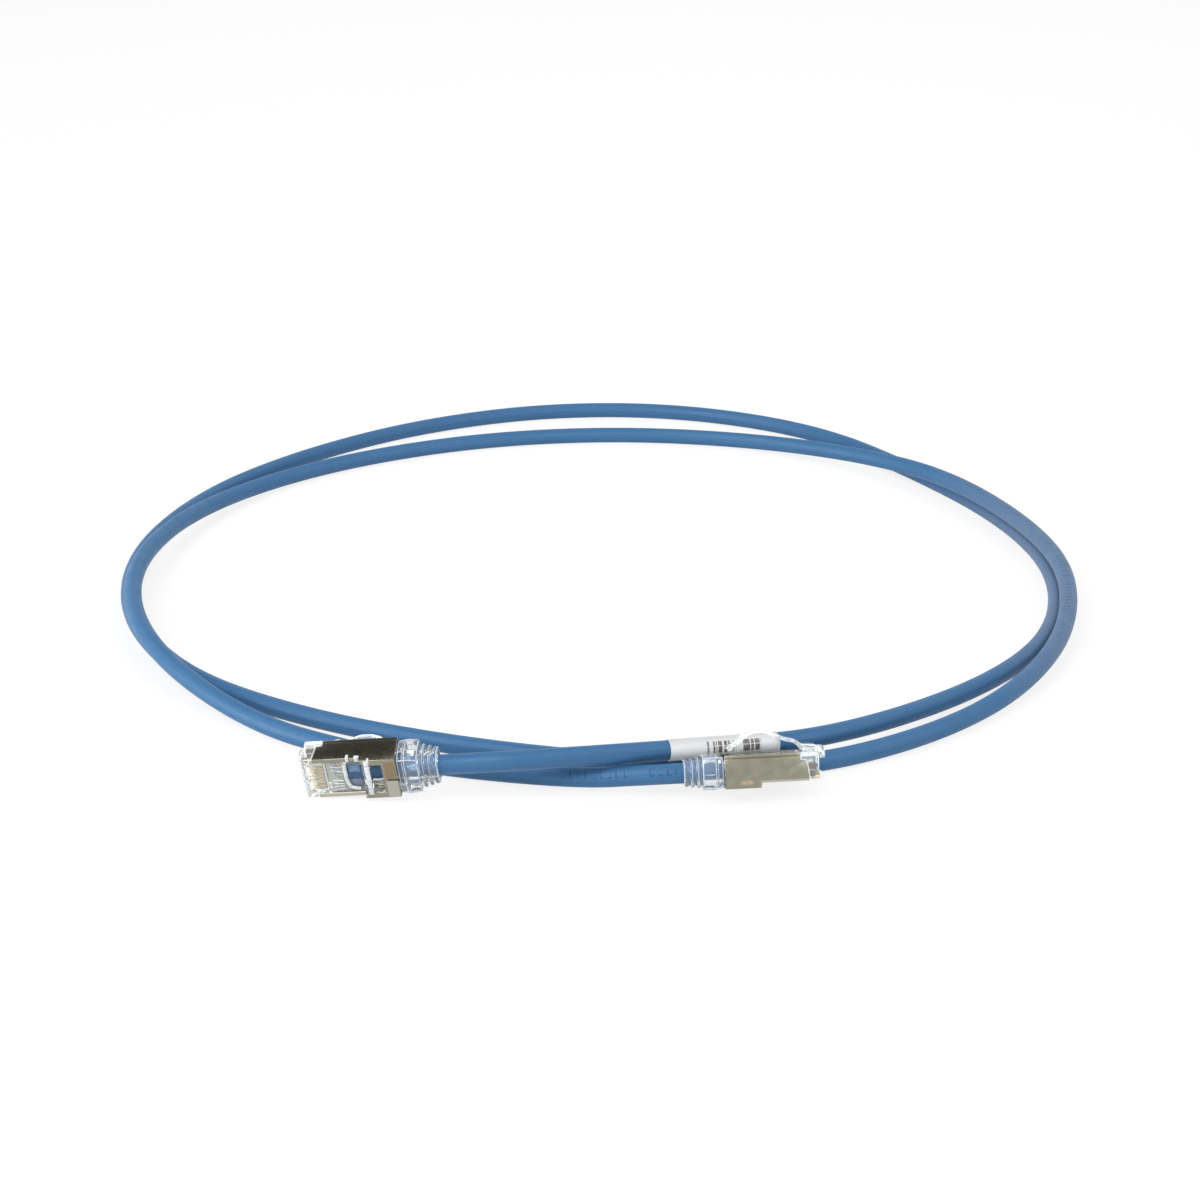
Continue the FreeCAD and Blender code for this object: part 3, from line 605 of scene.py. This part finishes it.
def add_curve(work, curve):
    """The mesh of a curve, added to a bmesh. Gives back its vertices."""
    old = len(work.verts)
    work.from_mesh(mesh_of(curve))
    work.verts.ensure_lookup_table()
    return work.verts[old:]


def add_bar(work, points, thickness, flat=1.0):
    """Round bar along a smooth line of points, flattened in Z where asked."""
    raised = [(x, y, z / flat) for x, y, z in points]
    bar = add_curve(work, spline("bar", raised, thickness, 3, 8))
    bmesh.ops.scale(work, vec=(1, 1, flat), verts=bar)


def rounded_outline(wide, high, rounding):
    """Outline of a rounded rectangle across a plug, as (y, z) points."""
    arcs = 6
    flats = 8
    rounding = min(rounding, wide / 2 - 0.01, high / 2 - 0.01)
    corners = []
    for turn, (y, z) in enumerate(((1, 1), (-1, 1), (-1, -1), (1, -1))):
        for step in range(arcs + 1):
            angle = math.pi / 2 * (turn + step / arcs)
            corners.append(Vector((y * (wide / 2 - rounding) + rounding * math.cos(angle),
                                   z * (high / 2 - rounding) + rounding * math.sin(angle))))
    outline = []
    for index, place in enumerate(corners):
        outline.append(place)
        if index % (arcs + 1) == arcs:
            after = corners[(index + 1) % len(corners)]
            outline += [place.lerp(after, step / flats) for step in range(1, flats)]
    return outline


def add_ring(work, x, outline):
    """Closed ring of edges across a plug, through (y, z) points."""
    verts = [work.verts.new((x, y, z)) for y, z in outline]
    return [work.edges.new(pair) for pair in zip(verts, verts[1:] + verts[:1])]


def add_sleeve(work, steps, bore):
    """Sleeve along X with a round bore. Each step is (start, end, width, height, rounding)."""
    # the ends of each step are rounded by so much
    edge = 0.16
    # two rings never share a plane, or bridging them could cross over
    apart = 0.002
    rings = []
    for start, end, wide, high, rounding in steps:
        for x, less in ((start + apart, edge), (start + edge * 0.3, edge * 0.3), (start + edge, 0.0),
                        (end - edge, 0.0), (end - edge * 0.3, edge * 0.3), (end - apart, edge)):
            rings.append(add_ring(work, x, rounded_outline(wide - 2 * less, high - 2 * less, rounding)))
    for x in (steps[-1][1], steps[0][0]):
        rings.append(add_ring(work, x, rounded_outline(bore * 2, bore * 2, bore)))
    for before, after in zip(rings, rings[1:] + rings[:1]):
        bmesh.ops.bridge_loops(work, edges=before + after)


def add_hoop(work, x, wide, high, rounding, thickness):
    """Round bead along a rounded outline across a plug."""
    outline = [(x, y, z) for y, z in rounded_outline(wide, high, rounding)]
    add_curve(work, spline("hoop", outline, thickness, 1, kind="POLY", closed=True))


def rounded_copy(node, width, edge_finish=-1):
    """Copy of a CAD node's mesh with sharp edges rounded, which take a finish of their own if asked."""
    work = bmesh.new()
    work.from_mesh(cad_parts[node].data)
    bmesh.ops.remove_doubles(work, verts=work.verts, dist=2e-6)
    bmesh.ops.dissolve_limit(work, angle_limit=math.radians(0.5), verts=work.verts, edges=work.edges)
    sharp = [edge for edge in work.edges
             if len(edge.link_faces) == 2 and edge.calc_face_angle(0.0) > math.radians(28)]
    round_edges(work, sharp, width, 2, edge_finish)
    mesh = bpy.data.meshes.new(node)
    work.to_mesh(mesh)
    work.free()
    return mesh


def spline(name, points, thickness=0.0, sides=7, steps=20, kind="NURBS", closed=False, caps=True):
    """Curve along its points, smooth or straight from point to point, as thick as asked."""
    curve = bpy.data.curves.new(name, "CURVE")
    curve.dimensions = "3D"
    run = curve.splines.new(kind)
    run.points.add(len(points) - 1)
    for point, place in zip(run.points, points):
        point.co = (*place, 1.0)
    if kind == "NURBS":
        run.order_u = 3
        run.use_endpoint_u = True
    run.use_cyclic_u = closed
    curve.resolution_u = steps
    curve.bevel_depth = thickness / 2
    curve.bevel_resolution = sides
    curve.use_fill_caps = caps and not closed
    return curve


def mesh_of(curve):
    """The mesh that Blender makes of a curve."""
    holder = bpy.data.objects.new(curve.name, curve)
    bpy.context.collection.objects.link(holder)
    mesh = bpy.data.meshes.new_from_object(holder.evaluated_get(bpy.context.evaluated_depsgraph_get()))
    bpy.data.objects.remove(holder)
    return mesh


def cord_line():
    """Points along the middle of the jacket."""
    return [vert.co.copy() for vert in mesh_of(spline("route", ROUTE)).vertices]


def walked(points):
    """Distance along a line of points at each of them."""
    far = [0.0]
    for before, after in zip(points, points[1:]):
        far.append(far[-1] + (after - before).length)
    return far


def point_at(centre, far, distance):
    """Point of a line of points at a distance along it."""
    index = next(i for i, gone in enumerate(far) if gone > distance) - 1
    return centre[index].lerp(centre[index + 1], (distance - far[index]) / (far[index + 1] - far[index]))


def add_wrap_map(mesh, centre):
    """Map with metres along the cable and turns round it, which are 0 on top and grow towards the front."""
    far = walked(centre)
    plain = mesh.uv_layers[0]
    wrap = mesh.uv_layers.new(name="wrap")
    last = len(centre) - 1
    for face in mesh.polygons:
        first = None
        for loop in face.loop_indices:
            step = plain.data[loop].uv.x * last
            index = min(int(step + 1e-4), last - 1)
            along = far[index] + (far[index + 1] - far[index]) * (step - index)
            middle = centre[index].lerp(centre[index + 1], step - index)
            heading = (centre[index + 1] - centre[index]).normalized()
            up = (Vector((0, 0, 1)) - heading * heading.z).normalized()
            side = heading.cross(up)
            spoke = mesh.vertices[mesh.loops[loop].vertex_index].co - middle
            turns = math.atan2(spoke.dot(side), spoke.dot(up)) / (2 * math.pi)
            # the corners of one face keep to the same turn
            if first is None:
                first = turns
            turns += round(first - turns)
            wrap.data[loop].uv = (along, turns)
    mesh.uv_layers.remove(mesh.uv_layers[0])


# Parts of a plug, drawn in its own millimetres: X behind the nose, Y across, Z towards the latch

def drawn_ribs():
    """White edges, ribs and studs of a housing; their white is partly painted highlight."""
    work = bmesh.new()
    # rounded frame of the first window, with a short tail beside it
    add_bar(work, [(10.35, -3.7, -2.3), (10.35, -1.0, -2.3), (10.45, 1.6, -2.3), (10.95, 3.1, -2.3),
                   (12.0, 3.75, -2.3), (13.2, 3.95, -2.3)], 1.0, 0.5)
    # ridges of the wire channels
    for y, lean in ((-3.3, 0.25), (-2.2, 0.3), (0.9, 0.15), (1.9, 0.1), (2.9, -0.1), (3.9, -0.2)):
        add_bar(work, [(7.3, y, -2.45), (8.4, y + lean, -2.5), (9.6, y + lean * 1.5, -2.5)], 0.22)
    # painted glint: a small white block beside the channel ridges
    add_block(work, (5.9, 1.5, -2.5), (6.9, 1.85, -2.3), 0.08)
    # rib across the shoulder, which stands in the shell's opening
    add_block(work, (15.35, -5.75, -4.02), (16.5, 4.7, -3.55), 0.2)
    add_block(work, (14.9, 0.2, -3.8), (15.4, 1.6, -3.5), 0.12)
    # sill of the rear window
    add_block(work, (16.6, 0.72, -3.3), (19.2, 1.0, -2.6), 0.1)
    # studs that hold the shell on one side
    add_block(work, (11.1, -5.95, -2.8), (11.8, -4.7, -1.5), 0.12)
    add_block(work, (13.1, -5.95, -2.8), (14.3, -4.7, -1.9), 0.12)
    add_block(work, (16.2, -5.95, -3.95), (16.7, -4.7, -3.0), 0.12)
    # rims of both cheeks along the shell and the nose, their upper tabs and their lower corners
    for side in (-1, 1):
        rim = side * 5.72
        add_bar(work, [(3.12, rim, -2.3), (3.62, rim, 1.6), (3.75, rim, 2.1), (4.9, rim, 2.15),
                       (5.02, rim, 2.5), (5.02, rim, 3.7)], 0.34)
        nose = side * 5.7
        add_bar(work, [(4.9, nose, 3.66), (1.7, nose, 3.66), (1.15, nose, 3.6), (1.05, nose, 3.0),
                       (1.05, nose, 0.2)], 0.28)
        tab = side * 5.55
        add_block(work, (1.3, tab - 0.28, 2.75), (4.95, tab + 0.28, 3.7), 0.25)
        add_bar(work, [(0.6, side * 5.6, -2.3), (0.6, side * 5.65, -1.4), (0.75, side * 5.6, -0.6)], 0.4)
    # front lip of the chin and a low bridge behind the contacts
    add_block(work, (0.42, -5.6, -2.42), (0.95, 5.6, -2.1), 0.12)
    add_block(work, (5.6, -4.2, -2.42), (5.95, 4.4, -2.1), 0.1)
    return work


def drawn_jacket_end():
    """Flattened end of the jacket behind the first window."""
    work = bmesh.new()
    add_block(work, (10.95, -3.7, -2.1), (14.35, 3.7, -0.6), 0.6, 3)
    return work


def drawn_drain():
    """Crumpled foil and drain wire behind the rear window, and a strip of foil behind the gap of the rear
    band as painted shade.
    """
    work = bmesh.new()
    add_block(work, (16.4, 1.9, -2.7), (19.1, 4.1, -1.6), 0.3, 3)
    for points, thickness in (
        ([(16.3, 1.5, -2.9), (17.4, 1.9, -3.1), (18.3, 2.4, -3.1), (19.2, 2.5, -2.9)], 0.32),
        ([(16.6, 3.6, -2.8), (17.6, 3.1, -3.05), (18.5, 3.4, -3.0), (19.1, 3.0, -2.9)], 0.28),
        ([(17.0, 4.0, -3.3), (17.8, 4.3, -3.75), (18.6, 4.3, -3.75), (19.1, 4.0, -3.3)], 0.3),
    ):
        add_bar(work, points, thickness)
    # a strip put in the gap of the rear band as painted shade
    add_block(work, (20.1, 0.1, -3.46), (22.5, 1.05, -3.3), 0.04)
    return work


def contact_row(contact):
    """How far across a plug a contact sits."""
    return (contact - (CONTACTS - 1) / 2) * CONTACT_PITCH


def drawn_heads():
    """Heads of the contacts, and a small plated corner at each end of their row."""
    work = bmesh.new()
    for contact in range(CONTACTS):
        row = contact_row(contact)
        add_block(work, (2.1, row - 0.31, -2.02), (5.3, row + 0.31, -1.8), 0.09)
    for edge in (-4.6, 4.6):
        add_block(work, (0.95, edge - 0.12, -2.3), (2.1, edge + 0.12, -1.0), 0.08)
    return work


def drawn_painted_blade_shade(side):
    """Stand-in for the side of the outermost blade behind the cheek that faces up, a block that carries
    painted shade.
    """
    work = bmesh.new()
    cheek = -5.65 if side == "left" else 5.65
    add_block(work, (2.0, cheek - 0.12, -1.75), (3.5, cheek + 0.12, -0.4), 0.1)
    add_block(work, (1.6, cheek - 0.12, -0.1), (3.7, cheek + 0.12, 1.3), 0.1)
    return work


def drawn_pair(wires, striped):
    """The two wires of a pair from their contacts back to the jacket. Finish 0 goes to the striped one."""
    work = bmesh.new()
    work.loops.layers.uv.new("UVMap")
    for number, (contact, across, up) in enumerate(wires):
        row = contact_row(contact)
        points = [(x, row, WIRE_HEIGHT) for x in (2.1, 4.8, 7.2)]
        points += [(7.9, row * 0.9 + across * 0.1, WIRE_HEIGHT), (9.4, across, up), (10.45, across, up)]
        wire = mesh_of(spline("wire", points, WIRE, 3, 8))
        for face in wire.polygons:
            face.material_index = 0 if number == striped else 1
        work.from_mesh(wire)
    return work


def drawn_boot():
    """The stepped and ribbed sleeve of a boot."""
    work = bmesh.new()
    add_sleeve(work, BOOT_STEPS, BOOT_BORE)
    return work


def drawn_boot_edges():
    """Milky edges of a boot's flange, block and ribs, and the frame of its block; their white is partly
    painted highlight.
    """
    work = bmesh.new()
    for edge in BOOT_EDGES:
        add_hoop(work, *edge)
    for y in (-1, 1):
        for z in (-1, 1):
            add_bar(work, [(22.9, y * 4.7, z * 3.3), (24.2, y * 5.0, z * 3.5), (26.0, y * 5.1, z * 3.55),
                           (27.4, y * 4.7, z * 3.4)], 0.34)
    for z in (-0.35, 3.05):
        for y in (1, -1):
            add_bar(work, [(24.9, y * 5.45, z), (26.0, y * 5.5, z), (27.3, y * 5.4, z)], 0.2)
    return work


# Stage helpers

def add_camera(context, look):
    """Camera in front of the coil that looks down on it."""
    camera = bpy.data.objects.new("camera", bpy.data.cameras.new("camera"))
    context.collection.objects.link(camera)
    camera.location = look.camera
    camera.rotation_euler = (math.pi / 2 - look.pitch, 0, 0)
    camera.data.lens = look.lens
    camera.data.sensor_width = 36
    camera.data.clip_start = 0.01
    context.scene.camera = camera


def add_floor(context, look):
    """Wide floor that takes the shadow and is seen almost white."""
    work = bmesh.new()
    bmesh.ops.create_grid(work, x_segments=1, y_segments=1, size=6)
    mesh = bpy.data.meshes.new("floor")
    work.to_mesh(mesh)
    work.free()
    floor = bpy.data.objects.new("floor", mesh)
    context.collection.objects.link(floor)
    finish, tree, shader = new_finish("pale_floor")
    shader.inputs["Base Color"].default_value = (*look.floor, 1.0)
    shader.inputs["Roughness"].default_value = 0.9
    shader.inputs["Specular IOR Level"].default_value = 0.1
    rays = add_node(tree, "ShaderNodeLightPath")
    white = add_node(tree, "ShaderNodeEmission", {"Color": (1, 1, 1, 1), "Strength": 1.0})
    mix_into_surface(tree, times(tree, seen(tree, rays), 0.82), shader, white)
    mesh.materials.append(finish)


def add_world(context):
    """White surroundings, dimmer as a light, with a dark ceiling behind the object that only gloss shows."""
    world = bpy.data.worlds.new("studio")
    world.use_nodes = True
    context.scene.world = world
    tree = world.node_tree
    background = tree.nodes["Background"]
    rays = add_node(tree, "ShaderNodeLightPath")
    heading = add_node(tree, "ShaderNodeTexCoord").outputs["Generated"]
    toward = add_node(tree, "ShaderNodeVectorMath", {0: heading, 1: DARK_CEILING.normalized()},
                      operation="DOT_PRODUCT").outputs["Value"]
    dark = times(tree, ramp(tree, toward, 0.84, 0.94), rays.outputs["Is Glossy Ray"])
    colour = blend_colours(tree, dark, (1.0, 1.0, 1.0), (0.09, 0.088, 0.08))
    tree.links.new(colour, background.inputs["Color"])
    tree.links.new(ramp(tree, seen(tree, rays), 0.0, 1.0, 0.55, 1.0), background.inputs["Strength"])


def add_lamps(context):
    """Soft lamps that look at the object. The one behind it leaves no gloss."""
    for name, place, size, power in LAMPS:
        lamp = bpy.data.lights.new(name, "AREA")
        lamp.size = size
        lamp.energy = power
        holder = bpy.data.objects.new(name, lamp)
        context.collection.objects.link(holder)
        holder.location = place
        holder.visible_glossy = name != "back"
        holder.rotation_euler = (LAMP_AIM - Vector(place)).to_track_quat("-Z", "Y").to_euler()


# Operators

class PATCHCORD_OT_stage(bpy.types.Operator):
    """Camera, pale floor, world and soft lamps"""
    bl_idname = "patchcord.stage"
    bl_label = "Set the stage"

    def execute(self, context):
        look = context.scene.patch_cord_stage
        context.scene.view_settings.view_transform = "Standard"
        add_camera(context, look)
        add_floor(context, look)
        add_world(context)
        add_lamps(context)
        return {"FINISHED"}


class PATCHCORD_OT_cord(bpy.types.Operator):
    """Jacket and wrap label along the route"""
    bl_idname = "patchcord.cord"
    bl_label = "Lay the cord"

    def execute(self, context):
        look = context.scene.patch_cord_cable
        centre = cord_line()
        mesh = mesh_of(spline("jacket", ROUTE, look.diameter))
        add_wrap_map(mesh, centre)
        add_piece("jacket", mesh, ROOT, [jacket_finish(look.jacket)],
                  ["cable_jacket", "cable_core"], 60)

        far = walked(centre)
        begin = look.label_start
        end = begin + look.label_length
        covered = [point_at(centre, far, begin)]
        covered += [place for place, gone in zip(centre, far) if begin < gone < end]
        covered.append(point_at(centre, far, end))
        mesh = mesh_of(spline("label", covered, look.diameter + FILM_WALL, 9, kind="POLY", caps=False))
        add_wrap_map(mesh, covered)
        label = add_piece("wrap_label", mesh, ROOT, [label_finish(look.label)], ["cable_label"], 60)
        wall = label.modifiers.new("wall", "SOLIDIFY")
        wall.thickness = FILM_WALL
        wall.offset = 1.0
        return {"FINISHED"}


class PATCHCORD_OT_housings(bpy.types.Operator):
    """Clear housings with their ribs, window frames and shoulder bars, and the load bars"""
    bl_idname = "patchcord.housings"
    bl_label = "Mould the housings"

    def execute(self, context):
        look = context.scene.patch_cord_plug
        clear = clear_finish("clear_polycarbonate", look.clear, 1.5, (0.02, 0.07), 0.11)
        rim = clear_finish("hazy_rims_and_glints", (0.95, 0.96, 0.97), 1.5, (0.1, 0.2), 0.5)
        # hazy finish for the rounded edges, whose white is partly painted highlight
        bar = clear_finish("milky_bar", (0.97, 0.97, 0.90), 1.45, (0.05, 0.15), 0.5, 0.0001)
        milky = frosted_finish("milky_edges_and_glints", (0.86, 0.89, 0.92))
        foil = foil_finish()
        for side in SIDES:
            mesh = rounded_copy(f"{side}_housing", look.edge, edge_finish=1)
            add_piece(f"{side}_clear_housing", mesh, ROOT, [clear, rim], [f"{side}_housing"])
            load_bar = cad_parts[f"{side}_load_bar"].data
            load_bar.materials.clear()
            load_bar.materials.append(bar)
            add_plug_piece(side, "milky_ribs_and_glints", drawn_ribs(), [milky])
            pressed = pressed_finish(side, context.scene.patch_cord_cable.jacket)
            add_plug_piece(side, "jacket_end", drawn_jacket_end(), [pressed])
            add_plug_piece(side, "drain_clip", drawn_drain(), [foil])
        return {"FINISHED"}


class PATCHCORD_OT_shells(bpy.types.Operator):
    """Plated shells with rounded folds"""
    bl_idname = "patchcord.shells"
    bl_label = "Stamp the shells"

    def execute(self, context):
        look = context.scene.patch_cord_plug
        for side in SIDES:
            mesh = rounded_copy(f"{side}_shell", look.edge * 0.9)
            add_piece(f"{side}_plated_shell", mesh, ROOT, [shell_finish(side, look.shell)],
                      [f"{side}_shell"])
        return {"FINISHED"}


class PATCHCORD_OT_wiring(bpy.types.Operator):
    """Contacts and wires inside the plugs"""
    bl_idname = "patchcord.wiring"
    bl_label = "Fit the contacts and wires"

    def execute(self, context):
        look = context.scene.patch_cord_plug
        shade = shaded_finish()
        for side in SIDES:
            plating = gold_finish(side, look.gold)
            mesh = rounded_copy(f"{side}_contacts", 0.00005)
            add_piece(f"{side}_gold_contacts", mesh, ROOT, [plating], [f"{side}_contacts"])
            add_plug_piece(side, "contact_heads", drawn_heads(), [plating])
            add_plug_piece(side, "painted_blade_shade", drawn_painted_blade_shade(side), [shade])
            for colour, (tone, wires, striped) in PAIRS.items():
                insulation = [wire_finish(f"striped_{colour}_{side}", WIRE_WHITE, tone),
                              wire_finish(f"plain_{colour}_{side}", tone)]
                add_plug_piece(side, f"wires_{colour}", drawn_pair(wires, striped),
                               insulation, [f"{side}_pair_{colour}"], 60)
        return {"FINISHED"}


class PATCHCORD_OT_boots(bpy.types.Operator):
    """Clear ribbed boots and their milky edges, partly painted highlight"""
    bl_idname = "patchcord.boots"
    bl_label = "Mould the boots"

    def execute(self, context):
        look = context.scene.patch_cord_plug
        soft = clear_finish("clear_soft_boot", look.boot, 1.40, (0.01, 0.06), 0.045, 0.0001)
        haze = frosted_finish("boot_haze_and_glints", (0.70, 0.76, 0.84))
        for side in SIDES:
            add_plug_piece(side, "ribbed_boot", drawn_boot(), [soft], [f"{side}_boot"])
            add_plug_piece(side, "boot_edges", drawn_boot_edges(), [haze])
        return {"FINISHED"}


class PATCHCORD_OT_latches(bpy.types.Operator):
    """Arched clear latches"""
    bl_idname = "patchcord.latches"
    bl_label = "Hang the latches"

    def execute(self, context):
        look = context.scene.patch_cord_plug
        clear = clear_finish("clear_latch_plastic", look.clear, 1.5, (0.01, 0.05), 0.20)
        # hazy finish for the latch's rounded edges, whose white is partly painted highlight
        rim = clear_finish("latch_rims_haze_and_glints", (0.95, 0.96, 0.98), 1.5, (0.06, 0.18), 0.45)
        for side in SIDES:
            mesh = rounded_copy(f"{side}_latch", 0.0002, edge_finish=1)
            add_piece(f"{side}_clear_latch", mesh, LATCH_BODY[side], [clear, rim],
                      [f"{side}_latch"])
        return {"FINISHED"}


class PATCHCORD_OT_declare_cord(bpy.types.Operator):
    """Works out the points along the middle of the jacket and keeps nothing of them"""
    bl_idname = "patchcord.declare_cord"
    bl_label = "Declare the cord"

    def execute(self, context):
        cord_line()
        return {"FINISHED"}


STEPS = (
    PATCHCORD_OT_stage, PATCHCORD_OT_cord, PATCHCORD_OT_housings, PATCHCORD_OT_shells, PATCHCORD_OT_wiring,
    PATCHCORD_OT_boots, PATCHCORD_OT_latches, PATCHCORD_OT_declare_cord,
)


class PATCHCORD_PT_sidebar(bpy.types.Panel):
    """The steps, in order"""
    bl_idname = "PATCHCORD_PT_sidebar"
    bl_label = "Patch cord"
    bl_space_type = "VIEW_3D"
    bl_region_type = "UI"
    bl_category = "Patch cord"

    def draw(self, context):
        for group in ("patch_cord_cable", "patch_cord_plug", "patch_cord_stage"):
            settings = getattr(context.scene, group)
            for name in settings.bl_rna.properties.keys():
                if name not in ("rna_type", "name"):
                    self.layout.prop(settings, name)
        for step in STEPS:
            self.layout.operator(step.bl_idname)


CLASSES = (PatchCordCable, PatchCordPlug, PatchCordStage) + STEPS + (PATCHCORD_PT_sidebar,)


def register():
    for item in CLASSES:
        bpy.utils.register_class(item)
    bpy.types.Scene.patch_cord_cable = bpy.props.PointerProperty(type=PatchCordCable)
    bpy.types.Scene.patch_cord_plug = bpy.props.PointerProperty(type=PatchCordPlug)
    bpy.types.Scene.patch_cord_stage = bpy.props.PointerProperty(type=PatchCordStage)


def unregister():
    del bpy.types.Scene.patch_cord_stage
    del bpy.types.Scene.patch_cord_plug
    del bpy.types.Scene.patch_cord_cable
    for item in reversed(CLASSES):
        bpy.utils.unregister_class(item)


def main():
    register()
    bpy.ops.patchcord.stage()
    bpy.ops.patchcord.cord()
    bpy.ops.patchcord.housings()
    bpy.ops.patchcord.shells()
    bpy.ops.patchcord.wiring()
    bpy.ops.patchcord.boots()
    bpy.ops.patchcord.latches()
    bpy.ops.patchcord.declare_cord()
    bpy.context.view_layer.update()


if __name__ == "__main__":
    main()
